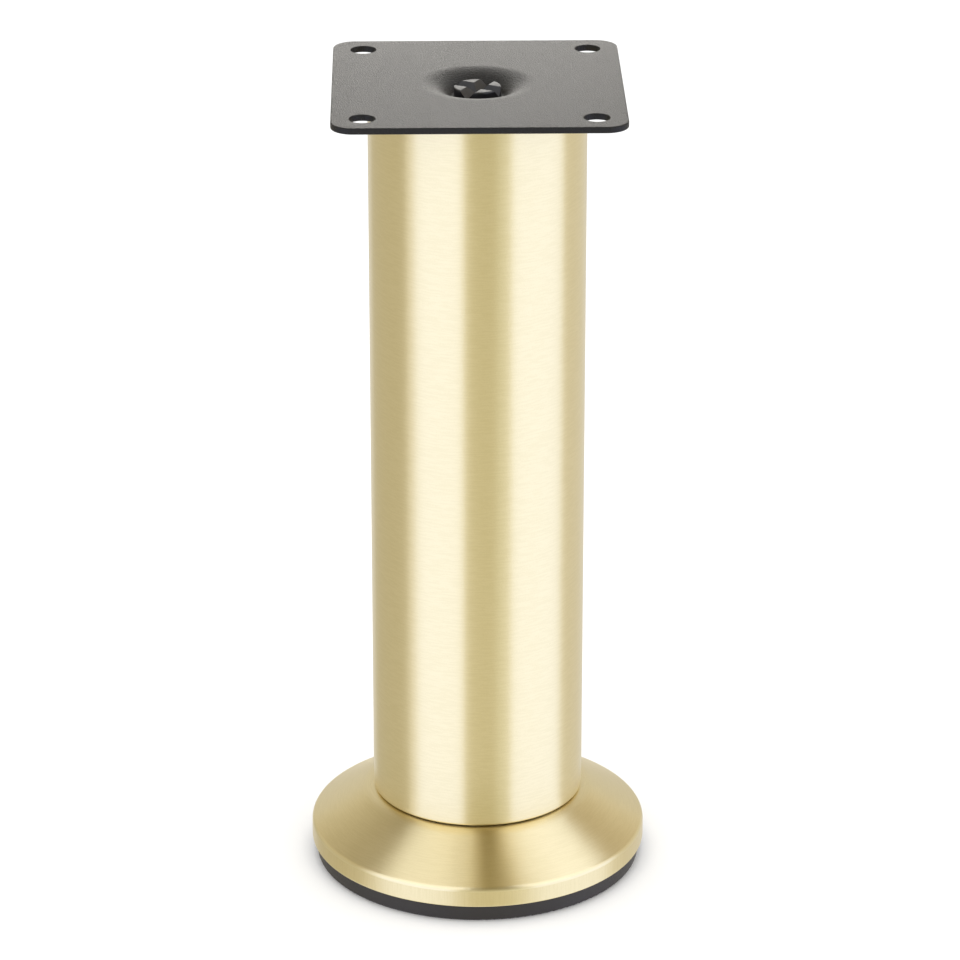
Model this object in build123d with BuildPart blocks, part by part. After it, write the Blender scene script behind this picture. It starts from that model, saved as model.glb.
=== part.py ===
"""Round furniture leg: a brushed tube on a flared levelling foot, under a square mounting plate.

The leg stands on the floor at z = 0 with its axis on Z. All lengths are in millimetres.
"""

import os
from math import atan2, cos, hypot, radians, tan

from build123d import *

# Overall
leg_height = 193.4  # floor to the plate's upper face, foot screwed home

# Mounting plate
plate_side = 66.0
plate_thickness = 1.5
plate_corner_radius = 5.0
plate_edge_radius = 0.3
hole_spacing = 52.0
hole_diameter = 5.8
dish_mouth_diameter = 18.5  # sharp corner of the dish's wall and the plate's upper face
dish_throat_diameter = 12.0  # sharp corner of the wall and the dish's floor
dish_lip_radius = 10.0
dish_floor_radius = 0.6
dish_straight = 0.1  # least straight wall between the dish's two roundings

# Plate screw and its nut
head_diameter = 10.8
head_height = 2.6
head_edge_radius = 0.4
head_recess = 0.7  # head's end below the plate's upper face
head_slot_width = 3.7
head_slot_depth = 1.9
head_slot_angle = 62.0  # first slot, measured from the X axis
shank_diameter = 6.0
shank_tail = 2.0  # shank left below the nut
plate_nut_width = 10.0  # across the flats
plate_nut_height = 5.0

# Tube
tube_diameter = 50.0
tube_wall = 1.2
tube_edge_radius = 0.6

# Plugs in the tube's two ends
plug_length = 24.0
plug_wall = 2.0
plug_web = 3.0
plug_hub_wall = 3.0
plug_rib_count = 6
plug_rib_thickness = 2.0
plug_recess = 0.6  # plug's end inside the tube's end

# Foot spindle and its nut
spindle_diameter = 10.0
spindle_chamfer = 1.0
spindle_reserve = 2.0  # thread left above the nut with the foot right out
flange_diameter = 18.0
flange_height = 4.0
spindle_nut_width = 17.0  # across the flats
spindle_nut_height = 8.0
foot_travel = 15.0

# Foot skirt, a pressed sheet
foot_diameter = 80.0
skirt_sheet = 1.0
skirt_top_overhang = 0.8  # sharp corner of the flat top and the cone, outside the tube
skirt_top_radius = 8.0
skirt_edge_radius = 1.4
skirt_lip_radius = 0.3  # rim's lower outer edge
skirt_rim_height = 4.7  # rim's lower edge to the sharp corner of rim and cone
skirt_cone_height = 8.6  # that corner to the flat top
foot_gap = 0.3  # tube's end above the flat top, foot screwed home

# Foot base, a moulding
base_reveal = 4.2  # height of the base that shows under the rim
base_setback = 0.6  # base's upper edge inside the rim
base_draft = 0.7  # sole inside the base's upper edge
base_edge_radius = 0.5
base_floor = 3.2
base_wall = 2.5
base_spigot_height = 2.4
base_hub_wall = 3.0
base_rib_count = 8
base_rib_thickness = 2.0
base_rib_height = 3.0
sole_ring_width = 9.0
sole_recess = 0.8

# Clearances
bore_clearance = 0.3  # radial, around a screw or spindle that passes freely
thread_clearance = 0.05  # radial, where a thread engages
press_clearance = 0.05  # radial, a plug in the tube and the base in the rim
nut_clearance = 0.05  # on each flat of a captive nut
swivel_clearance = 0.08  # radial, the spindle's flange in its pocket
seat_clearance = 0.1  # axial, above and below the flange

# Radii and heights that follow
tube_radius = tube_diameter / 2
bore_radius = tube_radius - tube_wall
plug_radius = bore_radius - press_clearance
plug_inner_radius = plug_radius - plug_wall
shank_radius = shank_diameter / 2
spindle_radius = spindle_diameter / 2
foot_radius = foot_diameter / 2

skirt_bottom_z = base_reveal
skirt_corner_z = skirt_bottom_z + skirt_rim_height
skirt_top_z = skirt_corner_z + skirt_cone_height
tube_bottom_z = skirt_top_z + foot_gap
plate_bottom_z = leg_height - plate_thickness

dish_mouth_radius = dish_mouth_diameter / 2
dish_throat_radius = dish_throat_diameter / 2
dish_floor_z = leg_height - head_recess - head_height
dish_bottom_z = dish_floor_z - plate_thickness
dish_depth = leg_height - dish_floor_z
dish_run = dish_mouth_radius - dish_throat_radius
dish_turn_tangent = tan(atan2(dish_depth, dish_run) / 2)  # of half the turn at the wall's two corners
dish_roundings = (hypot(dish_depth, dish_run) - dish_straight) / dish_turn_tangent  # most for both radii
dish_rounding = min(dish_lip_radius, dish_roundings - dish_floor_radius)
dish_outer_radius = dish_mouth_radius + dish_rounding * dish_turn_tangent + plate_thickness
dish_corner_shift = plate_thickness * dish_turn_tangent  # corners of the sheet's lower side, further out

plate_nut_top_z = dish_bottom_z - plug_web
plate_nut_bottom_z = plate_nut_top_z - plate_nut_height
top_plug_z = plate_bottom_z - plug_recess

bottom_plug_z = tube_bottom_z + plug_recess
spindle_nut_top_z = bottom_plug_z + spindle_nut_height
spindle_top_z = spindle_nut_top_z + foot_travel + spindle_reserve

flange_top_z = skirt_top_z - skirt_sheet - seat_clearance
flange_bottom_z = flange_top_z - flange_height
pocket_floor_z = flange_bottom_z - seat_clearance
pocket_radius = flange_diameter / 2 + swivel_clearance


def corner_radius(width_across_flats):
    """Radius to the corners of a hexagon of the given width across its flats."""
    return width_across_flats / 2 / cos(radians(30))


os.makedirs("parts", exist_ok=True)

# Mounting plate: a rounded square sheet with a dish drawn down around the screw's head
with BuildPart() as mounting_plate:
    with BuildSketch(Plane.XY.offset(plate_bottom_z)):
        RectangleRounded(plate_side, plate_side, plate_corner_radius)
    extrude(amount=plate_thickness)
    sheet_edges = mounting_plate.edges().group_by(Axis.Z)
    fillet(sheet_edges[0] + sheet_edges[-1], plate_edge_radius)
    with BuildSketch(Plane.XY.offset(plate_bottom_z)):
        Circle(dish_outer_radius)
        with GridLocations(hole_spacing, hole_spacing, 2, 2):
            Circle(hole_diameter / 2)
    extrude(amount=plate_thickness, mode=Mode.SUBTRACT)
    with BuildSketch(Plane.XZ):
        with BuildLine():
            upper_side = FilletPolyline(
                (shank_radius + bore_clearance, dish_floor_z),
                (dish_throat_radius, dish_floor_z),
                (dish_mouth_radius, leg_height),
                (dish_outer_radius, leg_height),
                radius=(dish_floor_radius, dish_rounding),
            )
            lower_side = FilletPolyline(
                (shank_radius + bore_clearance, dish_bottom_z),
                (dish_throat_radius + dish_corner_shift, dish_bottom_z),
                (dish_mouth_radius + dish_corner_shift, plate_bottom_z),
                (dish_outer_radius, plate_bottom_z),
                radius=(dish_floor_radius + plate_thickness, dish_rounding - plate_thickness),
            )
            Line(upper_side @ 0, lower_side @ 0)
            Line(upper_side @ 1, lower_side @ 1)
        make_face()
    revolve(axis=Axis.Z)
mounting_plate.part.label = "mounting_plate"
export_step(mounting_plate.part, "parts/mounting_plate.step")

# Plate screw: round head with two crossed V slots, plain shank down through the nut
with BuildPart() as plate_screw:
    with BuildSketch(Plane.XY.offset(dish_floor_z)):
        Circle(head_diameter / 2)
    extrude(amount=head_height)
    fillet(plate_screw.edges().group_by(Axis.Z)[-1], head_edge_radius)
    for slot_angle in (head_slot_angle, head_slot_angle + 90):
        slot_direction = Vector(1, 0, 0).rotate(Axis.Z, slot_angle)
        slot_across = Vector(0, 1, 0).rotate(Axis.Z, slot_angle)
        head_end = Vector(0, 0, dish_floor_z + head_height)
        with BuildSketch(Plane(origin=head_end, x_dir=slot_across, z_dir=slot_direction)):
            with BuildLine():
                Polyline(
                    (-head_slot_width / 2, 0),
                    (head_slot_width / 2, 0),
                    (0, -head_slot_depth),
                    close=True,
                )
            make_face()
        extrude(amount=head_diameter, both=True, mode=Mode.SUBTRACT)
    with BuildSketch(Plane.XY.offset(dish_floor_z)):
        Circle(shank_radius)
    extrude(amount=plate_nut_bottom_z - shank_tail - dish_floor_z)
plate_screw.part.label = "plate_screw"
export_step(plate_screw.part, "parts/plate_screw.step")

# Top plug: ring, ribs and a hub; the dish sits on the hub and the nut in its lower end
with BuildPart() as top_plug:
    hub_radius = max(corner_radius(plate_nut_width), dish_throat_radius) + plug_hub_wall
    with BuildSketch(Plane.XY.offset(top_plug_z)):
        Circle(plug_radius)
        Circle(plug_inner_radius, mode=Mode.SUBTRACT)
    extrude(amount=-plug_length)
    with BuildSketch(Plane.XY.offset(dish_bottom_z)):
        Circle(hub_radius)
        with PolarLocations(plug_inner_radius / 2, plug_rib_count):
            Rectangle(plug_inner_radius + plug_wall, plug_rib_thickness)
    extrude(amount=plate_nut_bottom_z - dish_bottom_z)
    with BuildSketch(Plane.XY.offset(dish_bottom_z)):
        Circle(plug_inner_radius + plug_wall / 2)
    extrude(amount=-plug_web)
    with BuildSketch(Plane.XY.offset(plate_nut_bottom_z)):
        RegularPolygon(plate_nut_width / 2 + nut_clearance, 6, major_radius=False)
    extrude(amount=plate_nut_height, mode=Mode.SUBTRACT)
    with BuildSketch(Plane.XY.offset(dish_bottom_z)):
        Circle(shank_radius + bore_clearance)
    extrude(amount=-plug_web, mode=Mode.SUBTRACT)
top_plug.part.label = "top_plug"
export_step(top_plug.part, "parts/top_plug.step")

# Plate nut: hexagon nut in the top plug
with BuildPart() as plate_nut:
    with BuildSketch(Plane.XY.offset(plate_nut_bottom_z)):
        RegularPolygon(plate_nut_width / 2, 6, major_radius=False)
        Circle(shank_radius + thread_clearance, mode=Mode.SUBTRACT)
    extrude(amount=plate_nut_height)
plate_nut.part.label = "plate_nut"
export_step(plate_nut.part, "parts/plate_nut.step")

# Leg tube: plain round tube with its lower outer edge eased
with BuildPart() as leg_tube:
    with BuildSketch(Plane.XY.offset(tube_bottom_z)):
        Circle(tube_radius)
        Circle(bore_radius, mode=Mode.SUBTRACT)
    extrude(amount=plate_bottom_z - tube_bottom_z)
    lower_outer_edge = leg_tube.edges().group_by(Axis.Z)[0].sort_by(SortBy.RADIUS)[-1]
    fillet(lower_outer_edge, tube_edge_radius)
leg_tube.part.label = "leg_tube"
export_step(leg_tube.part, "parts/leg_tube.step")

# Bottom plug: ring, ribs and a hub; the spindle runs through it and its nut sits in the lower end
with BuildPart() as bottom_plug:
    hub_radius = corner_radius(spindle_nut_width) + plug_hub_wall
    with BuildSketch(Plane.XY.offset(bottom_plug_z)):
        Circle(plug_radius)
        Circle(plug_inner_radius, mode=Mode.SUBTRACT)
    extrude(amount=plug_length)
    with BuildSketch(Plane.XY.offset(bottom_plug_z)):
        Circle(hub_radius)
        with PolarLocations(plug_inner_radius / 2, plug_rib_count):
            Rectangle(plug_inner_radius + plug_wall, plug_rib_thickness)
    extrude(amount=spindle_nut_height + plug_web)
    with BuildSketch(Plane.XY.offset(spindle_nut_top_z)):
        Circle(plug_inner_radius + plug_wall / 2)
    extrude(amount=plug_web)
    with BuildSketch(Plane.XY.offset(bottom_plug_z)):
        RegularPolygon(spindle_nut_width / 2 + nut_clearance, 6, major_radius=False)
    extrude(amount=spindle_nut_height, mode=Mode.SUBTRACT)
    with BuildSketch(Plane.XY.offset(spindle_nut_top_z)):
        Circle(spindle_radius + bore_clearance)
    extrude(amount=plug_web, mode=Mode.SUBTRACT)
bottom_plug.part.label = "bottom_plug"
export_step(bottom_plug.part, "parts/bottom_plug.step")

# Spindle nut: hexagon nut in the bottom plug
with BuildPart() as spindle_nut:
    with BuildSketch(Plane.XY.offset(bottom_plug_z)):
        RegularPolygon(spindle_nut_width / 2, 6, major_radius=False)
        Circle(spindle_radius + thread_clearance, mode=Mode.SUBTRACT)
    extrude(amount=spindle_nut_height)
spindle_nut.part.label = "spindle_nut"
export_step(spindle_nut.part, "parts/spindle_nut.step")

# Foot spindle: round flange held in the foot, shaft up through the nut
with BuildPart() as foot_spindle:
    with BuildSketch(Plane.XY.offset(flange_bottom_z)):
        Circle(flange_diameter / 2)
    extrude(amount=flange_height)
    with BuildSketch(Plane.XY.offset(flange_bottom_z)):
        Circle(spindle_radius)
    extrude(amount=spindle_top_z - flange_bottom_z)
    chamfer(foot_spindle.edges().group_by(Axis.Z)[-1], spindle_chamfer)
foot_spindle.part.label = "foot_spindle"
export_step(foot_spindle.part, "parts/foot_spindle.step")

# Foot skirt: pressed sheet with a flat top, a cone, a rounded edge and an upright rim
with BuildPart() as foot_skirt:
    with BuildSketch(Plane.XZ):
        with BuildLine():
            FilletPolyline(
                (spindle_radius + bore_clearance, skirt_top_z),
                (tube_radius + skirt_top_overhang, skirt_top_z),
                (foot_radius, skirt_corner_z),
                (foot_radius, skirt_bottom_z),
                radius=(skirt_top_radius, skirt_edge_radius),
            )
            offset(amount=skirt_sheet, side=Side.RIGHT)
        make_face()
    revolve(axis=Axis.Z)
    rim_outer_edge = foot_skirt.edges().group_by(Axis.Z)[0].sort_by(SortBy.RADIUS)[-1]
    fillet(rim_outer_edge, skirt_lip_radius)
foot_skirt.part.label = "foot_skirt"
export_step(foot_skirt.part, "parts/foot_skirt.step")

# Foot base: moulded dish with a ledge for the rim, a ribbed floor and a hub for the spindle's flange
with BuildPart() as foot_base:
    ledge_radius = foot_radius - base_setback
    sole_radius = ledge_radius - base_draft
    spigot_radius = foot_radius - skirt_sheet - press_clearance
    spigot_top_z = skirt_bottom_z + base_spigot_height
    wall_inner_radius = spigot_radius - base_wall
    hub_radius = pocket_radius + base_hub_wall
    hub_top_z = skirt_top_z - skirt_sheet
    with BuildSketch(Plane.XZ):
        with BuildLine():
            Polyline(
                (0, sole_recess),
                (0, pocket_floor_z),
                (pocket_radius, pocket_floor_z),
                (pocket_radius, hub_top_z),
                (hub_radius, hub_top_z),
                (hub_radius, base_floor),
                (wall_inner_radius, base_floor),
                (wall_inner_radius, spigot_top_z),
                (spigot_radius, spigot_top_z),
                (spigot_radius, skirt_bottom_z),
                (ledge_radius, skirt_bottom_z),
                (sole_radius, 0),
                (sole_radius - sole_ring_width, 0),
                (sole_radius - sole_ring_width, sole_recess),
                close=True,
            )
        make_face()
    revolve(axis=Axis.Z)
    sole_edge = foot_base.edges().group_by(Axis.Z)[0].sort_by(SortBy.RADIUS)[-1]
    fillet(sole_edge, base_edge_radius)
    with BuildSketch(Plane.XY.offset(base_floor)):
        with PolarLocations((hub_radius + wall_inner_radius) / 2, base_rib_count):
            Rectangle(wall_inner_radius - hub_radius + base_wall, base_rib_thickness)
    extrude(amount=base_rib_height)
foot_base.part.label = "foot_base"
export_step(foot_base.part, "parts/foot_base.step")
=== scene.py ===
"""Looks of a round brass furniture leg with a levelling foot and a black mounting plate.

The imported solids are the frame. Each sub-assembly is a class that holds its sizes, builds its own
meshes over the solids and dresses them. The overall sizes come from the solids. Sizes are in
millimetres in their frame: the leg stands on z = 0 with its axis on Z. The studio and the camera
are in metres.
"""

from __future__ import annotations

import logging
import math
from collections.abc import Sequence
from dataclasses import dataclass
from enum import Enum

import bpy
from mathutils import Matrix, Vector
from mathutils.geometry import tessellate_polygon

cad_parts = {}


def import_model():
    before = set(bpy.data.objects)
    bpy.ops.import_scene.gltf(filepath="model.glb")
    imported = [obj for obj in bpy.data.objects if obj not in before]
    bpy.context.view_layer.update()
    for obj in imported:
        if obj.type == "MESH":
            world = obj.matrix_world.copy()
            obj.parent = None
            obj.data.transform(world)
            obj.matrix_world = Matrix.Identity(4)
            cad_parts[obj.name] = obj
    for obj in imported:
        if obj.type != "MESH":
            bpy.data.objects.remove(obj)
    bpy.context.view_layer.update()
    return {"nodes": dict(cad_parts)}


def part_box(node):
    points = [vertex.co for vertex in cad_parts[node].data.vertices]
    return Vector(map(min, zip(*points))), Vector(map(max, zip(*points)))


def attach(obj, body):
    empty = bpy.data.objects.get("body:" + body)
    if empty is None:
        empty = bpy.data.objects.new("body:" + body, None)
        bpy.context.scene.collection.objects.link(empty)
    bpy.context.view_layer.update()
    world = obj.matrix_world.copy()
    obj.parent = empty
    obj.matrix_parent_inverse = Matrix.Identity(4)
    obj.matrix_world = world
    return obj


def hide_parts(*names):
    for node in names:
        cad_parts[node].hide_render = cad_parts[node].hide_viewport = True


LOG = logging.getLogger("furniture_leg")
MM = 0.001
SIZE_DIGITS = 3
ORIGIN = Vector((0.0, 0.0, 0.0)).freeze()
UP = Vector((0.0, 0.0, 1.0)).freeze()
NOISE_MIDDLE = 0.5
NOISE_REACH = 0.2

Color = tuple[float, float, float]
Loops = tuple[range, range]
Nodes = dict[str, bpy.types.Object]
Points = Sequence[Vector]
Socket = bpy.types.NodeSocket
Feed = Socket | float | Sequence[float]


class Body(Enum):
    """Rigid bodies of the leg that a piece can ride on."""

    LEG = "leg"
    SPINDLE = "spindle"
    FOOT = "foot"


class Slot(Enum):
    """Names of the record's material slots; nothing here uses them."""

    BRASS = "brushed_brass"
    COATING = "plate_coating"
    ZINC = "zinc_steel"


class Solid(Enum):
    """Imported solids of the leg, from the plate down to the floor."""

    PLATE = "mounting_plate"
    SCREW = "plate_screw"
    PLATE_NUT = "plate_nut"
    TOP_PLUG = "top_plug"
    TUBE = "leg_tube"
    BOTTOM_PLUG = "bottom_plug"
    SPINDLE_NUT = "spindle_nut"
    SPINDLE = "foot_spindle"
    SKIRT = "foot_skirt"
    BASE = "foot_base"


class Brushing(Enum):
    """Ways that brush lines run, with the turn that stretches a highlight across them."""

    ROUND = 0.25
    UPRIGHT = 0.0


class Blend(Enum):
    """What a Mix node mixes: Blender's name of the type and the ending of its sockets' names."""

    NUMBER = ("FLOAT", "Float")
    COLOR = ("RGBA", "Color")


class Shader:
    """A material with a few calls that keep its node tree short to write."""

    def __init__(self, name: str) -> None:
        """Start a material that holds one Principled shader.

        Args:
            name: Name of the material.
        """
        self.material = bpy.data.materials.new(name)
        self.material.use_nodes = True
        self.tree = self.material.node_tree
        self.surface = self.tree.nodes["Principled BSDF"]

    def node(self, kind: str, **settings: str) -> bpy.types.Node:
        """Add a node.

        Args:
            kind: Blender's name of the node type.
            **settings: Properties of the node to set.

        Returns:
            The new node.
        """
        made = self.tree.nodes.new(kind)
        for key, value in settings.items():
            setattr(made, key, value)
        return made

    def feed(self, target: Socket, value: Feed) -> None:
        """Link an output to an input, or set the input to a plain value.

        Args:
            target: Input to feed.
            value: An output, or a value that the input takes.
        """
        if isinstance(value, Socket):
            self.tree.links.new(value, target)
        else:
            target.default_value = value

    def math(self, operation: str, *inputs: Feed) -> Socket:
        """Add a Math node.

        Args:
            operation: Blender's name of the operation.
            *inputs: Outputs or numbers for the node's inputs.

        Returns:
            The node's output.
        """
        made = self.node("ShaderNodeMath", operation=operation)
        for target, value in zip(made.inputs, inputs):
            self.feed(target, value)
        return made.outputs[0]

    def mix(self, kind: Blend, factor: Feed, first: Feed, second: Feed) -> Socket:
        """Mix two numbers or two colours.

        Args:
            kind: What is mixed.
            factor: Share of the second one.
            first: An output, or a plain value.
            second: An output, or a plain value.

        Returns:
            The mixed number or colour.
        """
        data_type, ending = kind.value
        made = self.node("ShaderNodeMix", data_type=data_type)
        inputs = {socket.identifier: socket for socket in made.inputs}
        self.feed(inputs["Factor_Float"], factor)
        self.feed(inputs[f"A_{ending}"], first)
        self.feed(inputs[f"B_{ending}"], second)
        outputs = {socket.identifier: socket for socket in made.outputs}
        return outputs[f"Result_{ending}"]

    def join(self, *parts: Socket) -> Socket:
        """Join coordinates into a vector.

        Args:
            *parts: The three coordinates.

        Returns:
            The vector.
        """
        made = self.node("ShaderNodeCombineXYZ")
        for target, value in zip(made.inputs, parts):
            self.feed(target, value)
        return made.outputs[0]

    def position(self) -> Socket:
        """Point on the surface in the object's own frame, in metres."""
        return self.node("ShaderNodeTexCoord").outputs["Object"]

    def coordinates(self) -> tuple[Socket, ...]:
        """Take the point on the surface apart.

        Returns:
            Its three coordinates in metres.
        """
        split = self.node("ShaderNodeSeparateXYZ")
        self.feed(split.inputs[0], self.position())
        return tuple(split.outputs)

    def noise(self, vector: Socket, scale: float, detail: float) -> Socket:
        """Add a noise texture.

        Args:
            vector: Where the noise is read.
            scale: Cycles per unit of the vector.
            detail: Number of finer octaves.

        Returns:
            The noise's value, about 0 to 1.
        """
        made = self.node("ShaderNodeTexNoise")
        self.feed(made.inputs["Vector"], vector)
        self.feed(made.inputs["Scale"], scale)
        self.feed(made.inputs["Detail"], detail)
        return made.outputs["Fac"]

    def ramp(self, value: Socket, ends: tuple[float, float], low: float, high: float) -> Socket:
        """Map a range of a value onto another range, held at its ends.

        Args:
            value: The value.
            ends: Where the range of the value starts and ends.
            low: Result at the start.
            high: Result at the end.

        Returns:
            The mapped value.
        """
        made = self.node("ShaderNodeMapRange")
        self.feed(made.inputs["Value"], value)
        self.feed(made.inputs["From Min"], ends[0])
        self.feed(made.inputs["From Max"], ends[1])
        self.feed(made.inputs["To Min"], low)
        self.feed(made.inputs["To Max"], high)
        return made.outputs["Result"]

    def color(self, noise: Socket, low: Color, high: Color, reach: float = NOISE_REACH) -> None:
        """Colour the surface between two colours.

        Args:
            noise: Noise that picks the colour.
            low: Linear colour where the noise is low.
            high: Linear colour where the noise is high.
            reach: How far the useful part of the noise reaches on each side of its middle.
        """
        share = self.ramp(noise, (NOISE_MIDDLE - reach, NOISE_MIDDLE + reach), 0.0, 1.0)
        mixed = self.mix(Blend.COLOR, share, (*low, 1.0), (*high, 1.0))
        self.feed(self.surface.inputs["Base Color"], mixed)

    def roughness(self, noise: Socket, low: float, high: float) -> None:
        """Vary the roughness with a noise between two values."""
        ends = (NOISE_MIDDLE - NOISE_REACH, NOISE_MIDDLE + NOISE_REACH)
        self.feed(self.surface.inputs["Roughness"], self.ramp(noise, ends, low, high))

    def bump(self, height: Socket, strength: float, depth_mm: float) -> None:
        """Bump the surface.

        Args:
            height: Height of the relief, 0 to 1.
            strength: Share of the relief that shows.
            depth_mm: Depth of the relief in millimetres.
        """
        made = self.node("ShaderNodeBump")
        self.feed(made.inputs["Height"], height)
        self.feed(made.inputs["Strength"], strength)
        self.feed(made.inputs["Distance"], depth_mm * MM)
        self.feed(self.surface.inputs["Normal"], made.outputs["Normal"])

    def plain(self, values: dict[str, float]) -> None:
        """Set uniform values, each by its socket's name, on the shader's own sockets."""
        for name, value in values.items():
            self.feed(self.surface.inputs[name], value)


@dataclass(frozen=True)
class BrushedBrass:
    """Pale brass plating under a thin clear lacquer, brushed round the leg's axis or along it."""

    name: str
    brushing: Brushing = Brushing.ROUND
    low: Color = (0.862, 0.742, 0.427)
    high: Color = (0.898, 0.778, 0.463)
    color_reach: float = 0.09
    anisotropy: float = 0.84
    rough_low: float = 0.29
    rough_high: float = 0.32
    lines_per_mm: float = 2.6
    arcs_per_radian: float = 7.0
    line_mm: float = 6.0
    grain_mm: float = 0.35
    grain_share: float = 0.3
    grain_strength: float = 0.4
    grain_depth_mm: float = 0.03
    lacquer: float = 0.3
    lacquer_rough: float = 0.22

    def material(self) -> bpy.types.Material:
        """Build the finish.

        Returns:
            The material.
        """
        shader = Shader(self.name)
        round_brushed = self.brushing is Brushing.ROUND
        lines = self.round_lines(shader) if round_brushed else self.upright_lines(shader)
        brushing = shader.noise(lines, scale=1.0, detail=2.0)
        grain = shader.noise(shader.position(), scale=1.0 / (self.grain_mm * MM), detail=1.0)
        tone = shader.mix(Blend.NUMBER, self.grain_share, brushing, grain)
        shader.color(tone, self.low, self.high, self.color_reach)
        shader.roughness(brushing, self.rough_low, self.rough_high)
        shader.bump(grain, self.grain_strength, self.grain_depth_mm)
        tangent = shader.node("ShaderNodeTangent", direction_type="RADIAL", axis="Z")
        shader.feed(shader.surface.inputs["Tangent"], tangent.outputs[0])
        shader.plain({
            "Metallic": 1.0,
            "Anisotropic": self.anisotropy,
            "Anisotropic Rotation": self.brushing.value,
            "Coat Weight": self.lacquer,
            "Coat Roughness": self.lacquer_rough,
        })
        return shader.material

    def round_lines(self, shader: Shader) -> Socket:
        """Stretch the space of a noise into lines round the axis, on upright, sloped and flat faces.

        Args:
            shader: The finish.

        Returns:
            Where the noise is read.
        """
        x, y, z = shader.coordinates()
        squares = shader.math("ADD", shader.math("MULTIPLY", x, x), shader.math("MULTIPLY", y, y))
        radius = shader.math("SQRT", squares)
        arcs = shader.math("DIVIDE", self.arcs_per_radian, radius)
        across = shader.math("MULTIPLY", shader.math("SUBTRACT", z, radius), self.lines_per_mm / MM)
        return shader.join(shader.math("MULTIPLY", x, arcs), shader.math("MULTIPLY", y, arcs), across)

    def upright_lines(self, shader: Shader) -> Socket:
        """Stretch the space of a noise into lines along the axis.

        Args:
            shader: The finish.

        Returns:
            Where the noise is read.
        """
        x, y, z = shader.coordinates()
        fine = self.lines_per_mm / MM
        along = shader.math("DIVIDE", z, self.line_mm * MM)
        return shader.join(shader.math("MULTIPLY", x, fine), shader.math("MULTIPLY", y, fine), along)


@dataclass(frozen=True)
class PowderCoat:
    """Black powder coating with a fine sandy texture, smoother on its crests."""

    low: Color = (0.0080, 0.0075, 0.0070)
    high: Color = (0.0150, 0.0142, 0.0131)
    grain_mm: float = 0.34
    grain_depth_mm: float = 0.2
    rough_hollows: float = 0.44
    rough_crests: float = 0.34
    gloss: float = 0.28

    def material(self) -> bpy.types.Material:
        """Build the finish.

        Returns:
            The material.
        """
        shader = Shader("powder_coat")
        grain = shader.noise(shader.position(), scale=1.0 / (self.grain_mm * MM), detail=2.0)
        shader.color(grain, self.low, self.high)
        shader.roughness(grain, self.rough_hollows, self.rough_crests)
        shader.bump(grain, 1.0, self.grain_depth_mm)
        shader.plain({"Specular IOR Level": self.gloss})
        return shader.material


@dataclass(frozen=True)
class BlackSteel:
    """Black oxide on steel, a little glossy on its flats."""

    low: Color = (0.010, 0.010, 0.011)
    high: Color = (0.022, 0.022, 0.024)
    clouds_per_m: float = 900.0
    rough_low: float = 0.30
    rough_high: float = 0.44
    cloud_strength: float = 0.3
    cloud_depth_mm: float = 0.06

    def material(self) -> bpy.types.Material:
        """Build the finish.

        Returns:
            The material.
        """
        shader = Shader("black_steel")
        cloud = shader.noise(shader.position(), self.clouds_per_m, detail=4.0)
        shader.color(cloud, self.low, self.high)
        shader.roughness(cloud, self.rough_low, self.rough_high)
        shader.bump(cloud, self.cloud_strength, self.cloud_depth_mm)
        return shader.material


@dataclass(frozen=True)
class BrightZinc:
    """Bright zinc plating on the nuts and the spindle."""

    low: Color = (0.52, 0.53, 0.55)
    high: Color = (0.68, 0.69, 0.70)
    clouds_per_m: float = 500.0
    rough_low: float = 0.24
    rough_high: float = 0.36

    def material(self) -> bpy.types.Material:
        """Build the finish.

        Returns:
            The material.
        """
        shader = Shader("bright_zinc")
        cloud = shader.noise(shader.position(), self.clouds_per_m, detail=3.0)
        shader.color(cloud, self.low, self.high)
        shader.roughness(cloud, self.rough_low, self.rough_high)
        shader.plain({"Metallic": 1.0})
        return shader.material


@dataclass(frozen=True)
class MouldedPlastic:
    """Black moulded plastic with a fine spark-eroded grain."""

    name: str
    low: Color
    high: Color
    grains_per_m: float = 2200.0
    clouds_per_m: float = 120.0
    cloud_share: float = 0.5
    rough_low: float = 0.45
    rough_high: float = 0.60
    grain_strength: float = 0.35
    grain_depth_mm: float = 0.03
    gloss: float = 0.35

    def material(self) -> bpy.types.Material:
        """Build the finish.

        Returns:
            The material.
        """
        shader = Shader(self.name)
        grain = shader.noise(shader.position(), self.grains_per_m, detail=2.0)
        cloud = shader.noise(shader.position(), self.clouds_per_m, detail=2.0)
        tone = shader.mix(Blend.NUMBER, self.cloud_share, grain, cloud)
        shader.color(tone, self.low, self.high)
        shader.roughness(grain, self.rough_low, self.rough_high)
        shader.bump(grain, self.grain_strength, self.grain_depth_mm)
        shader.plain({"Specular IOR Level": self.gloss})
        return shader.material


BRASS = BrushedBrass("brushed_brass")
# The rim's brass is darker and warmer than the rest of the brass: painted shade. Its upright brushing and
# softer sheen are real.
SHADED_RIM_BRASS = BrushedBrass(
    "rim_brass_painted_shade",
    Brushing.UPRIGHT,
    low=(0.802, 0.668, 0.342),
    high=(0.835, 0.700, 0.370),
    anisotropy=0.4,
)
PLUG_PLASTIC = MouldedPlastic("plug_plastic", (0.030, 0.030, 0.031), (0.042, 0.042, 0.043))
BASE_PLASTIC = MouldedPlastic("base_plastic", (0.026, 0.0219, 0.0184), (0.036, 0.0305, 0.0256))


def dress(piece: bpy.types.Object, material: bpy.types.Material) -> None:
    """Give a piece, a solid or one built here, one material all over."""
    piece.data.materials.clear()
    piece.data.materials.append(material)


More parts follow.
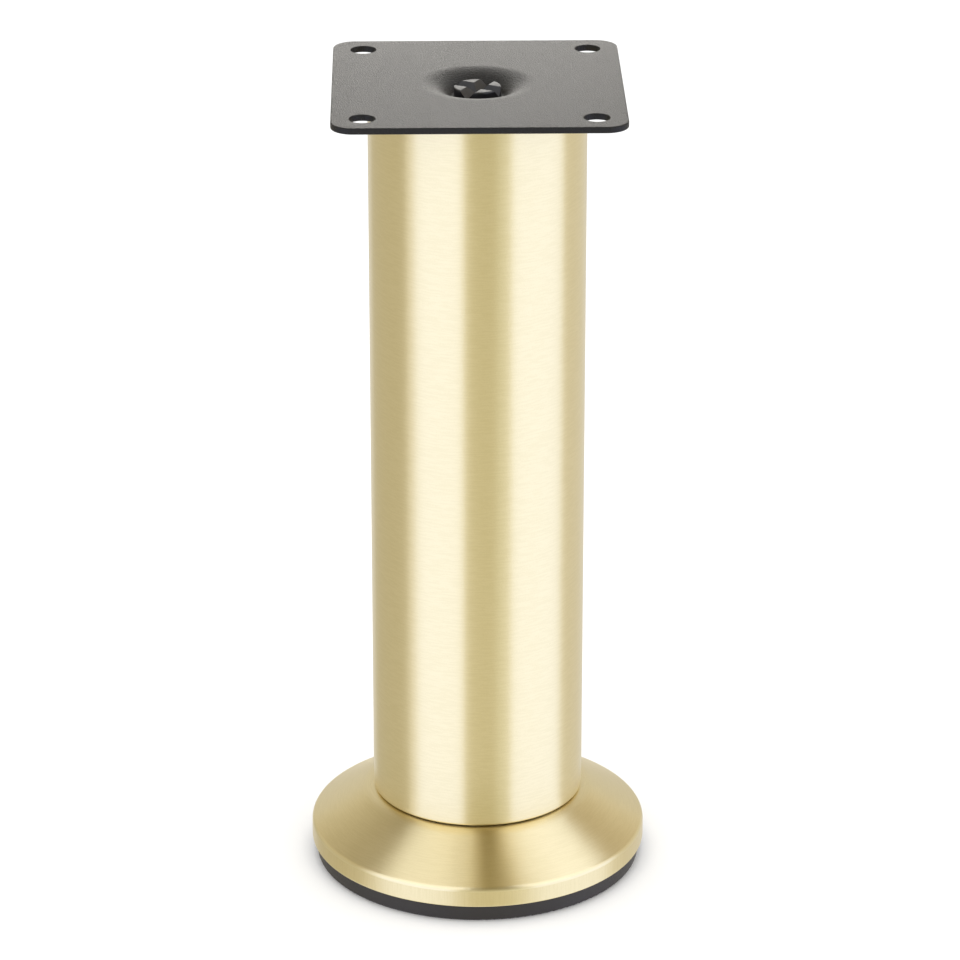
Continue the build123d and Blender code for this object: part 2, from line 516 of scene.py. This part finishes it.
@dataclass(frozen=True)
class Extent:
    """How far a solid reaches from the leg's axis along X, and its lower and upper end."""

    reach: float
    bottom: float
    top: float

    @classmethod
    def of(cls, solid: Solid) -> Extent:
        """Measure a solid of the frame.

        Args:
            solid: The solid.

        Returns:
            Its extent in millimetres.
        """
        low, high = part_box(solid.value)
        return cls(*(round(size / MM, SIZE_DIGITS) for size in (high.x, low.z, high.z)))


class Skin:
    """Gathers loops of points, strips between them and flat fills into one welded mesh."""

    def __init__(self) -> None:
        """Start with no points."""
        self.points: list[Vector] = []
        self.faces: list[tuple[int, ...]] = []
        self.normals: list[Vector] = []

    def loop(self, points: Points) -> range:
        """Add a closed loop of points.

        Args:
            points: The points in millimetres, anticlockwise seen from above.

        Returns:
            Their numbers.
        """
        first = len(self.points)
        self.points.extend(points)
        return range(first, len(self.points))

    def strip(self, first: range, second: range, first_bends: Points, second_bends: Points) -> None:
        """Join two loops with a strip of four-sided faces.

        Args:
            first: Loop where the strip starts.
            second: Loop where it ends.
            first_bends: Normal at each point of the first loop.
            second_bends: Normal at each point of the second loop.
        """
        count = len(first)
        for here in range(count):
            after = (here + 1) % count
            self.faces.append((first[here], first[after], second[after], second[here]))
            self.normals += [first_bends[here], first_bends[after]]
            self.normals += [second_bends[after], second_bends[here]]

    def fill(self, loops: Sequence[range], normal: Vector) -> None:
        """Fill a flat area between an outer loop and the loops of its holes.

        Args:
            loops: The outer loop and then the holes.
            normal: Normal of the area.
        """
        numbers = [number for loop in loops for number in loop]
        outlines = [[self.points[number] for number in loop] for loop in loops]
        for corners in tessellate_polygon(outlines):
            face = tuple(numbers[corner] for corner in corners)
            a, b, c = (self.points[number] for number in face)
            if (b - a).cross(c - a).dot(normal) < 0:
                face = face[::-1]
            self.faces.append(face)
            self.normals += [normal] * 3

    def piece(self, name: str) -> bpy.types.Object:
        """Make the object, in metres and with the gathered normals.

        Args:
            name: Name of the object.

        Returns:
            The object.
        """
        mesh = bpy.data.meshes.new(name)
        mesh.from_pydata([point * MM for point in self.points], [], self.faces)
        mesh.shade_smooth()
        mesh.normals_split_custom_set([normal.normalized() for normal in self.normals])
        piece = bpy.data.objects.new(name, mesh)
        bpy.context.scene.collection.objects.link(piece)
        return piece


@dataclass(frozen=True)
class Corner:
    """A corner of a profile: its radius from the axis, its height and how far it is rounded."""

    r: float
    z: float
    rounding: float = 0.0


@dataclass(frozen=True)
class Step:
    """A short straight step of a profile with the outward normal at each end."""

    start: Vector
    end: Vector
    start_normal: Vector
    end_normal: Vector


@dataclass(frozen=True)
class Profile:
    """A half section that turns round the axis, with the solid on the left of its run."""

    corners: tuple[Corner, ...]
    closed: bool = True
    arc_step: float = math.radians(7.0)
    fewest_arc_steps: int = 3

    def steps(self) -> list[Step]:
        """Break the profile into steps.

        Returns:
            The steps in order, with the roundings as short steps.
        """
        points = [Vector((corner.r, corner.z)) for corner in self.corners]
        count = len(points)
        sides = count if self.closed else count - 1
        ways = [(points[(side + 1) % count] - points[side]).normalized() for side in range(sides)]
        cuts = [self.cut(place, ways) for place in range(count)]
        made = []
        for side in range(sides):
            after = (side + 1) % count
            way = ways[side]
            normal = Vector((way.y, -way.x))
            start = points[side] + way * cuts[side]
            end = points[after] - way * cuts[after]
            made.append(Step(start, end, normal, normal))
            if cuts[after] > 0.0:
                made += self.arc(end, way, ways[(side + 1) % sides], self.corners[after].rounding)
        return made

    def cut(self, place: int, ways: Points) -> float:
        """How much of its two sides the rounding of a corner takes.

        Args:
            place: Number of the corner.
            ways: Direction of each side.

        Returns:
            The length, 0 for a sharp corner.
        """
        rounding = self.corners[place].rounding
        if rounding == 0.0:
            return 0.0
        return rounding * math.tan(abs(ways[place - 1].angle_signed(ways[place])) / 2)

    def arc(self, start: Vector, way: Vector, next_way: Vector, rounding: float) -> list[Step]:
        """Break one rounding into steps.

        Args:
            start: Where the rounding starts.
            way: Direction before it.
            next_way: Direction after it.
            rounding: Its radius.

        Returns:
            The steps.
        """
        turn = -way.angle_signed(next_way)
        count = max(self.fewest_arc_steps, math.ceil(abs(turn) / self.arc_step))
        side = math.copysign(1.0, turn)
        normal = Vector((way.y, -way.x))
        center = start - normal * rounding * side
        made = []
        for number in range(count):
            bends = [Matrix.Rotation(turn * (number + end) / count, 2) @ normal for end in (0, 1)]
            ends = [center + bend * rounding * side for bend in bends]
            made.append(Step(ends[0], ends[1], bends[0], bends[1]))
        return made

    def turn(self, skin: Skin, segments: int) -> Loops:
        """Turn the profile round the axis into a skin.

        Args:
            skin: Skin that takes the faces.
            segments: Faces round the axis.

        Returns:
            The first and the last loop.
        """
        steps = self.steps()
        first = skin.loop(ring(steps[0].start, segments))
        here = first
        for number, step in enumerate(steps):
            last = number == len(steps) - 1
            after = first if self.closed and last else skin.loop(ring(step.end, segments))
            skin.strip(here, after, ring(step.start_normal, segments), ring(step.end_normal, segments))
            here = after
        return first, here


def ring(point: Vector, segments: int, center: Vector = ORIGIN) -> list[Vector]:
    """Set points round an upright axis.

    Args:
        point: Radius and height of the ring, or the two parts of a normal.
        segments: Number of points.
        center: Where the axis stands.

    Returns:
        The points, anticlockwise from above.
    """
    turns = [math.tau * number / segments for number in range(segments)]
    ways = [Vector((math.cos(turn), math.sin(turn), 0.0)) for turn in turns]
    return [center + way * point.x + UP * point.y for way in ways]


def settle(
    piece: bpy.types.Object, solid: Solid, body: Body, material: bpy.types.Material
) -> None:
    """Dress a piece built here, put it in place of its solid and report it.

    Args:
        piece: The piece.
        solid: Solid that it stands for.
        body: Body that it rides on.
        material: The finish.
    """
    dress(piece, material)
    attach(piece, body.value)
    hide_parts(solid.value)
    LOG.info("built %s over %s: %d faces", piece.name, solid.value, len(piece.data.polygons))


@dataclass(frozen=True)
class LegTube:
    """The brushed tube, with its ends eased."""

    extent: Extent
    wall: float = 1.2
    lower_edge: float = 0.6
    bore_edge: float = 0.15
    segments: int = 288

    def build(self, finish: bpy.types.Material) -> None:
        """Build and dress the tube.

        Args:
            finish: The tube's finish.
        """
        radius = self.extent.reach
        bore = radius - self.wall
        profile = Profile((
            Corner(bore, self.extent.bottom, self.bore_edge),
            Corner(radius, self.extent.bottom, self.lower_edge),
            Corner(radius, self.extent.top, self.bore_edge),
            Corner(bore, self.extent.top, self.bore_edge),
        ))
        skin = Skin()
        profile.turn(skin, self.segments)
        settle(skin.piece("tube_wall"), Solid.TUBE, Body.LEG, finish)


@dataclass(frozen=True)
class FootSkirt:
    """The pressed skirt of the foot: flat top, cone, edge and upright rim."""

    extent: Extent
    spindle_hole: float = 5.3
    flat_radius: float = 25.8
    rim: float = 4.7
    sheet: float = 1.0
    top_edge: float = 8.0
    rim_edge: float = 1.4
    lip: float = 0.3
    hidden_edge: float = 0.1
    segments: int = 288

    def build(self, finish: bpy.types.Material, rim_shaded_finish: bpy.types.Material) -> None:
        """Build and dress the skirt.

        Args:
            finish: The skirt's finish.
            rim_shaded_finish: Finish of its upright rim, a darker copy of the brass that paints shade on
                it.
        """
        outside, bottom, top = self.extent.reach, self.extent.bottom, self.extent.top
        corner = bottom + self.rim
        slope = math.atan2(top - corner, outside - self.flat_radius)
        flat_share = math.tan(slope / 2)
        rim_share = math.tan((math.pi / 2 - slope) / 2)
        under = top - self.sheet
        inside = outside - self.sheet
        profile = Profile((
            Corner(self.spindle_hole, under, self.hidden_edge),
            Corner(self.flat_radius - self.sheet * flat_share, under, self.top_edge - self.sheet),
            Corner(inside, corner - self.sheet * rim_share, self.rim_edge - self.sheet),
            Corner(inside, bottom, self.hidden_edge),
            Corner(outside, bottom, self.lip),
            Corner(outside, corner, self.rim_edge),
            Corner(self.flat_radius, top, self.top_edge),
            Corner(self.spindle_hole, top, self.hidden_edge),
        ))
        skin = Skin()
        profile.turn(skin, self.segments)
        piece = skin.piece("skirt_sheet")
        settle(piece, Solid.SKIRT, Body.FOOT, finish)
        self.dress_rim(piece, rim_shaded_finish, corner - self.rim_edge * rim_share)

    def dress_rim(self, piece: bpy.types.Object, finish: bpy.types.Material, top: float) -> None:
        """Give the outside of the upright rim its own darker finish, which paints shade on it.

        Args:
            piece: The dressed skirt.
            finish: The rim's darker finish, with painted shade.
            top: Height where the rim starts to round into the cone.
        """
        piece.data.materials.append(finish)
        for face in piece.data.polygons:
            middle = face.center / MM
            outside = math.hypot(middle.x, middle.y) > self.extent.reach - self.sheet / 2
            face.material_index = int(outside and middle.z < top)


@dataclass(frozen=True)
class MountingPlate:
    """The coated plate: a rounded square with four screw holes and a drawn dish for the screw."""

    extent: Extent
    thickness: float = 1.5
    corner: float = 5.0
    edge: float = 0.3
    hole_spacing: float = 52.0
    hole_radius: float = 2.9
    hole_edge: float = 0.25
    mouth_radius: float = 9.25
    throat_radius: float = 6.0
    shank_hole: float = 3.3
    shank_edge: float = 0.1
    dish_lip: float = 10.0
    dish_bend: float = 0.6
    dish_arc_step: float = math.radians(4.0)
    edge_segments: int = 6
    corner_segments: int = 12
    hole_segments: int = 48
    dish_segments: int = 120

    def build(self, finish: bpy.types.Material) -> None:
        """Build and dress the plate.

        Args:
            finish: The plate's finish.
        """
        skin = Skin()
        low_rim, high_rim = self.rim(skin)
        high_dish, low_dish = self.dish().turn(skin, self.dish_segments)
        holes = [self.hole(skin, x, y) for x in (-1, 1) for y in (-1, 1)]
        skin.fill([high_rim, high_dish, *(high for high, low in holes)], UP)
        skin.fill([low_rim, low_dish, *(low for high, low in holes)], -UP)
        settle(skin.piece("plate_sheet"), Solid.PLATE, Body.LEG, finish)

    def rim(self, skin: Skin) -> Loops:
        """Build the plate's rounded outer edge.

        Args:
            skin: Skin that takes the faces.

        Returns:
            The lower and the upper loop.
        """
        top = self.extent.top
        turns = [math.pi / 2 * step / self.edge_segments for step in range(self.edge_segments + 1)]
        levels = [(top - self.thickness + self.edge, -turn) for turn in reversed(turns)]
        levels += [(top - self.edge, turn) for turn in turns]
        loops = []
        bends = []
        for height, turn in levels:
            inset = self.edge * (1 - math.cos(turn))
            loops.append(skin.loop(self.square(inset, height + self.edge * math.sin(turn))))
            bends.append([way * math.cos(turn) + UP * math.sin(turn) for way in self.ways()])
        for number in range(len(loops) - 1):
            skin.strip(loops[number], loops[number + 1], bends[number], bends[number + 1])
        return loops[0], loops[-1]

    def ways(self) -> list[Vector]:
        """Outward directions round the plate's four corners.

        Returns:
            The directions, anticlockwise from above.
        """
        steps = [step / self.corner_segments for step in range(self.corner_segments + 1)]
        turns = [math.pi / 2 * (corner + step) for corner in range(4) for step in steps]
        return [Vector((math.cos(turn), math.sin(turn), 0.0)) for turn in turns]

    def square(self, inset: float, height: float) -> list[Vector]:
        """Set points round a rounded square.

        Args:
            inset: How far it lies inside the plate's outline.
            height: Its height.

        Returns:
            The points, anticlockwise from above.
        """
        reach = self.extent.reach - self.corner
        centers = [(reach, reach), (-reach, reach), (-reach, -reach), (reach, -reach)]
        points = []
        for number, way in enumerate(self.ways()):
            x, y = centers[number // (self.corner_segments + 1)]
            points.append(Vector((x, y, height)) + way * (self.corner - inset))
        return points

    def hole(self, skin: Skin, x: int, y: int) -> Loops:
        """Build one screw hole with eased edges.

        Args:
            skin: Skin that takes the faces.
            x: Side of the plate along X, -1 or 1.
            y: Side of the plate along Y, -1 or 1.

        Returns:
            The upper and the lower loop.
        """
        center = Vector((x, y, 0.0)) * self.hole_spacing / 2
        top = self.extent.top
        bottom = top - self.thickness
        brim = self.hole_radius + 2 * self.hole_edge
        profile = Profile((
            Corner(brim, top),
            Corner(self.hole_radius, top, self.hole_edge),
            Corner(self.hole_radius, bottom, self.hole_edge),
            Corner(brim, bottom),
        ), closed=False)
        steps = profile.steps()
        loops = [skin.loop(ring(steps[0].start, self.hole_segments, center))]
        for step in steps:
            loops.append(skin.loop(ring(step.end, self.hole_segments, center)))
            normals = (step.start_normal, step.end_normal)
            skin.strip(loops[-2], loops[-1], *(ring(normal, self.hole_segments) for normal in normals))
        return loops[0], loops[-1]

    def dish(self) -> Profile:
        """Half section of the dish, from its upper outer edge round the screw's hole to the lower one.

        Returns:
            The profile.
        """
        top = self.extent.top
        bottom = top - self.thickness
        under = self.extent.bottom
        floor = under + self.thickness
        slope = math.atan2(top - floor, self.mouth_radius - self.throat_radius)
        share = math.tan(slope / 2)
        outer = self.mouth_radius + self.dish_lip * share + self.thickness
        shift = self.thickness * share
        return Profile((
            Corner(outer, top),
            Corner(self.mouth_radius, top, self.dish_lip),
            Corner(self.throat_radius, floor, self.dish_bend),
            Corner(self.shank_hole, floor, self.shank_edge),
            Corner(self.shank_hole, under, self.shank_edge),
            Corner(self.throat_radius + shift, under, self.dish_bend + self.thickness),
            Corner(self.mouth_radius + shift, bottom, self.dish_lip - self.thickness),
            Corner(outer, bottom),
        ), closed=False, arc_step=self.dish_arc_step)


@dataclass(frozen=True)
class FootSpindle:
    """The foot's spindle: a round flange and a shaft with a real thread.

    The root and the flank of the thread are shares of half a pitch, and the crest is the rest.
    """

    extent: Extent
    flange: float = 4.0
    flange_edge: float = 0.3
    flange_border: float = 1.0
    neck: float = 1.7
    shaft_radius: float = 5.0
    chamfer: float = 1.0
    pitch: float = 1.5
    thread_depth: float = 0.85
    root_share: float = 0.16
    flank_share: float = 0.62
    run_out: float = 3.0
    rows_per_pitch: int = 12
    segments: int = 72

    def build(self, finish: bpy.types.Material) -> None:
        """Build and dress the spindle.

        Args:
            finish: The spindle's finish.
        """
        skin = Skin()
        flange_radius, bottom = self.extent.reach, self.extent.bottom
        start = self.thread_start()
        profile = Profile((
            Corner(flange_radius - self.flange_border, bottom),
            Corner(flange_radius, bottom, self.flange_edge),
            Corner(flange_radius, bottom + self.flange, self.flange_edge),
            Corner(self.shaft_radius, bottom + self.flange),
            Corner(self.shaft_radius, start),
        ), closed=False)
        low, here = profile.turn(skin, self.segments)
        skin.fill([low], -UP)
        length = self.extent.top - start
        rows = math.ceil(length / self.pitch * self.rows_per_pitch)
        bends = self.bends(start)
        for row in range(1, rows + 1):
            height = start + length / rows * row
            after = skin.loop([way * self.reach(turn, height) + UP * height for turn, way in self.ways()])
            next_bends = self.bends(height)
            skin.strip(here, after, bends, next_bends)
            here = after
            bends = next_bends
        skin.fill([here], UP)
        settle(skin.piece("spindle_thread"), Solid.SPINDLE, Body.SPINDLE, finish)

    def thread_start(self) -> float:
        """Height where the thread starts, above the flange and a plain neck."""
        return self.extent.bottom + self.flange + self.neck

    def ways(self) -> list[tuple[float, Vector]]:
        """Angles round the shaft and the outward direction at each."""
        turns = [math.tau * number / self.segments for number in range(self.segments)]
        return [(turn, Vector((math.cos(turn), math.sin(turn), 0.0))) for turn in turns]

    def reach(self, turn: float, height: float) -> float:
        """Radius of the thread.

        Args:
            turn: Angle round the axis.
            height: Height up the shaft.

        Returns:
            The radius, which runs out at the lower end and follows the chamfer at the upper one.
        """
        climb = height - self.thread_start()
        phase = (climb / self.pitch - turn / math.tau) % 1.0
        off_root = abs(phase - 0.5) * 2
        flank = min(1.0, max(0.0, (off_root - self.root_share) / self.flank_share))
        cut = self.thread_depth * (1.0 - flank) * min(1.0, climb / self.run_out)
        cone = self.shaft_radius - max(0.0, height - (self.extent.top - self.chamfer))
        return min(self.shaft_radius - cut, cone)

    def bends(self, height: float) -> list[Vector]:
        """Normals round the shaft, from small steps along and around the thread.

        Args:
            height: Height up the shaft.

        Returns:
            The normal at each angle.
        """
        small = 0.02
        made = []
        for turn, way in self.ways():
            around = Vector((-way.y, way.x, 0.0))
            swell = (self.reach(turn + small, height) - self.reach(turn - small, height)) / (2 * small)
            slope = (self.reach(turn, height + small) - self.reach(turn, height - small)) / (2 * small)
            made.append(way - around * swell / self.shaft_radius - UP * slope)
        return made


@dataclass(frozen=True)
class Fittings:
    """The pieces whose solids are right as they are: screw, nuts, plugs and the foot's base."""

    screw: Solid = Solid.SCREW
    nuts: tuple[Solid, ...] = (Solid.PLATE_NUT, Solid.SPINDLE_NUT)
    plugs: tuple[Solid, ...] = (Solid.TOP_PLUG, Solid.BOTTOM_PLUG)
    base: Solid = Solid.BASE

    def build(self, nodes: Nodes, zinc: bpy.types.Material) -> None:
        """Dress the solids.

        Args:
            nodes: The solids by name.
            zinc: Finish of the nuts.
        """
        plug_finish = PLUG_PLASTIC.material()
        finishes = {self.screw: BlackSteel().material(), self.base: BASE_PLASTIC.material()}
        finishes.update({nut: zinc for nut in self.nuts})
        finishes.update({plug: plug_finish for plug in self.plugs})
        for solid, finish in finishes.items():
            dress(nodes[solid.value], finish)
            LOG.info("dressed %s with %s", solid.value, finish.name)


@dataclass(frozen=True)
class Card:
    """A curved card of the studio that only reflections see, as a patch of a sphere round the leg.

    Azimuths run in degrees from the camera to its right, and elevations from the horizon up. A tilt
    swings the whole patch up from the front, so that 90 hangs it overhead. A top colour fades the
    card from its own colour at the horizon to that one at its upper edge.
    """

    name: str
    azimuth: tuple[float, float]
    elevation: tuple[float, float]
    color: Color
    top_color: Color | None = None
    tilt: float = 0.0
    reach: float = 1.6
    middle: float = 0.1
    steps: int = 16

    def build(self) -> None:
        """Make the card."""
        wide = self.steps + 1
        starts = [row * wide + column for row in range(self.steps) for column in range(self.steps)]
        faces = [(start, start + 1, start + wide + 1, start + wide) for start in starts]
        mesh = bpy.data.meshes.new(self.name)
        mesh.from_pydata(self.corners(), [], faces)
        card = bpy.data.objects.new(self.name, mesh)
        bpy.context.scene.collection.objects.link(card)
        card.visible_camera = False
        card.visible_diffuse = False
        card.visible_shadow = False
        dress(card, self.material())

    def corners(self) -> list[Vector]:
        """Set the card's points on their sphere.

        Returns:
            The points, row by row from the lower edge.
        """
        center = UP * self.middle
        swing = Matrix.Rotation(-math.radians(self.tilt), 3, "X")
        made = []
        for row in range(self.steps + 1):
            rise = math.radians(self.angle(self.elevation, row))
            for column in range(self.steps + 1):
                turn = math.radians(self.angle(self.azimuth, column))
                level = Vector((math.sin(turn), -math.cos(turn), 0.0))
                way = level * math.cos(rise) + UP * math.sin(rise)
                made.append(center + swing @ way * self.reach)
        return made

    def angle(self, ends: tuple[float, float], step: int) -> float:
        """Angle at one step from the first end of a range to the other."""
        return ends[0] + (ends[1] - ends[0]) * step / self.steps

    def material(self) -> bpy.types.Material:
        """Build the card's even or fading glow.

        Returns:
            The material.
        """
        shader = Shader(self.name)
        shader.feed(shader.surface.inputs["Base Color"], (0.0, 0.0, 0.0, 1.0))
        glow: Feed = (*self.color, 1.0)
        if self.top_color is not None:
            height = self.reach * math.sin(math.radians(self.elevation[1]))
            ends = (self.middle, self.middle + height)
            share = shader.ramp(shader.coordinates()[2], ends, 0.0, 1.0)
            glow = shader.mix(Blend.COLOR, share, glow, (*self.top_color, 1.0))
        shader.feed(shader.surface.inputs["Emission Color"], glow)
        shader.plain({"Emission Strength": 1.0, "Specular IOR Level": 0.0, "Roughness": 1.0})
        shader.material.cycles.emission_sampling = "NONE"
        return shader.material


@dataclass(frozen=True)
class Studio:
    """White studio: a pale floor, an even sky, a soft lamp overhead and cards for the reflections."""

    cards: tuple[Card, ...]
    floor_reach: float = 6.0
    floor_color: Color = (0.98, 0.98, 0.98)
    sky_light: float = 0.75
    sky_white: float = 1.0
    lamp_height: float = 1.8
    lamp_size: float = 1.6
    lamp_power: float = 20.0

    def build(self) -> None:
        """Set the whole studio up."""
        self.floor()
        self.sky()
        self.lamp()
        for card in self.cards:
            card.build()
        LOG.info("studio: floor, sky, lamp and %d cards", len(self.cards))

    def floor(self) -> None:
        """Make the floor, which takes the leg's shadow."""
        signs = ((-1, -1), (1, -1), (1, 1), (-1, 1))
        corners = [(x * self.floor_reach, y * self.floor_reach, 0.0) for x, y in signs]
        mesh = bpy.data.meshes.new("floor")
        mesh.from_pydata(corners, [], [(0, 1, 2, 3)])
        floor = bpy.data.objects.new("floor", mesh)
        bpy.context.scene.collection.objects.link(floor)
        floor.visible_glossy = False
        shader = Shader("floor")
        shader.feed(shader.surface.inputs["Base Color"], (*self.floor_color, 1.0))
        shader.plain({"Roughness": 1.0, "Specular IOR Level": 0.0})
        dress(floor, shader.material)

    def sky(self) -> None:
        """Make the world: white to the eye and in reflections, and even light on the leg."""
        world = bpy.data.worlds.new("studio")
        bpy.context.scene.world = world
        world.use_nodes = True
        tree = world.node_tree
        path = tree.nodes.new("ShaderNodeLightPath")
        seen = path.outputs["Is Camera Ray"]
        for kind in ("Is Glossy Ray", "Is Transmission Ray"):
            either = tree.nodes.new("ShaderNodeMath")
            either.operation = "MAXIMUM"
            tree.links.new(seen, either.inputs[0])
            tree.links.new(path.outputs[kind], either.inputs[1])
            seen = either.outputs[0]
        level = tree.nodes.new("ShaderNodeMapRange")
        tree.links.new(seen, level.inputs["Value"])
        level.inputs["To Min"].default_value = self.sky_light
        level.inputs["To Max"].default_value = self.sky_white
        back = tree.nodes["Background"]
        back.inputs["Color"].default_value = (1.0, 1.0, 1.0, 1.0)
        tree.links.new(level.outputs["Result"], back.inputs["Strength"])

    def lamp(self) -> None:
        """Hang the soft lamp that lights the leg from above."""
        light = bpy.data.lights.new("soft_lamp", "AREA")
        light.size = self.lamp_size
        light.energy = self.lamp_power
        lamp = bpy.data.objects.new("soft_lamp", light)
        lamp.location = (0.0, 0.0, self.lamp_height)
        lamp.visible_glossy = False
        bpy.context.scene.collection.objects.link(lamp)


@dataclass(frozen=True)
class PhotoCamera:
    """Camera at the photograph's viewing angle, with its angles in radians and its lens in millimetres."""

    distance: float = 0.9584
    height: float = 0.4936
    pitch: float = 0.3932
    azimuth: float = -0.018
    pan: float = 0.0006
    lens: float = 165.7125
    sensor: float = 36.0

    def build(self) -> None:
        """Make the camera and give it to the scene."""
        data = bpy.data.cameras.new("photo_camera")
        data.sensor_width = self.sensor
        data.lens = self.lens
        camera = bpy.data.objects.new("photo_camera", data)
        way = Vector((math.sin(self.azimuth), -math.cos(self.azimuth), 0.0))
        camera.location = way * self.distance + UP * self.height
        camera.rotation_euler = (math.pi / 2 - self.pitch, 0.0, self.azimuth - self.pan)
        bpy.context.scene.collection.objects.link(camera)
        bpy.context.scene.camera = camera


CARDS = (
    Card("left_half_light", (-78, -70), (-46, 12), (0.92, 0.92, 0.98)),
    Card("left_light", (-70, -17), (-46, 12), (1.15, 1.24, 1.63)),
    Card("front_shade", (-14, 20), (-46, 12), (0.65, 0.62, 0.48)),
    Card("front_half_light", (20, 33), (-46, 12), (0.79, 0.79, 0.71)),
    Card("right_light", (36, 99), (-46, 12), (1.15, 1.24, 1.63)),
    Card("left_high_light", (-78, -9), (12, 58), (1.35, 1.38, 1.55)),
    Card("front_high_shade", (-7, 29), (12, 72), (0.22, 0.185, 0.10)),
    Card("right_high_light", (31, 92), (12, 58), (1.35, 1.38, 1.55)),
    Card("right_top_light", (92, 140), (42.5, 80), (1.15, 1.20, 1.40)),
    Card("right_low_shade", (102, 150), (-46, 4), (0.73, 0.71, 0.67)),
    Card("right_shade", (102, 150), (4, 42.5), (0.85, 0.79, 0.67), (0.42, 0.345, 0.225)),
    Card("left_low_shade", (-150, -80), (-46, 4), (0.57, 0.54, 0.45)),
    Card("left_shade", (-150, -80), (4, 56), (0.78, 0.72, 0.58), (0.26, 0.22, 0.14)),
    Card("overhead_left", (-2.6, 0.0), (-40, 40), (0.95, 0.82, 0.46), tilt=90.0),
    Card("overhead_shade", (0.0, 13.2), (-40, 40), (0.21, 0.15, 0.02), tilt=90.0),
    Card("overhead_right", (13.2, 15.4), (-40, 40), (0.85, 0.72, 0.36), tilt=90.0),
    Card(
        "back_light", (157, 203), (-12, 46), (4.2, 4.07, 3.83), (0.6, 0.6, 0.6), reach=0.16, middle=0.19
    ),
    Card("back_shade", (150, 210), (-14, 44), (0.67, 0.645, 0.59)),
    Card("back_floor", (150, 210), (-46, -14), (0.78, 0.77, 0.74)),
    Card("low_light", (-180, 180), (-62, -48), (1.3, 1.3, 1.4)),
    Card("floor_light", (-180, 180), (-90, -62), (1.0, 1.0, 1.0)),
)


def main() -> None:
    logging.basicConfig(level=logging.INFO, format="%(name)s: %(message)s")
    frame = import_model()
    brass = BRASS.material()
    zinc = BrightZinc().material()
    LegTube(Extent.of(Solid.TUBE)).build(brass)
    FootSkirt(Extent.of(Solid.SKIRT)).build(brass, SHADED_RIM_BRASS.material())
    MountingPlate(Extent.of(Solid.PLATE)).build(PowderCoat().material())
    FootSpindle(Extent.of(Solid.SPINDLE)).build(zinc)
    Fittings().build(frame["nodes"], zinc)
    Studio(CARDS).build()
    PhotoCamera().build()
    bpy.context.scene.view_settings.view_transform = "Standard"


if __name__ == "__main__":
    main()
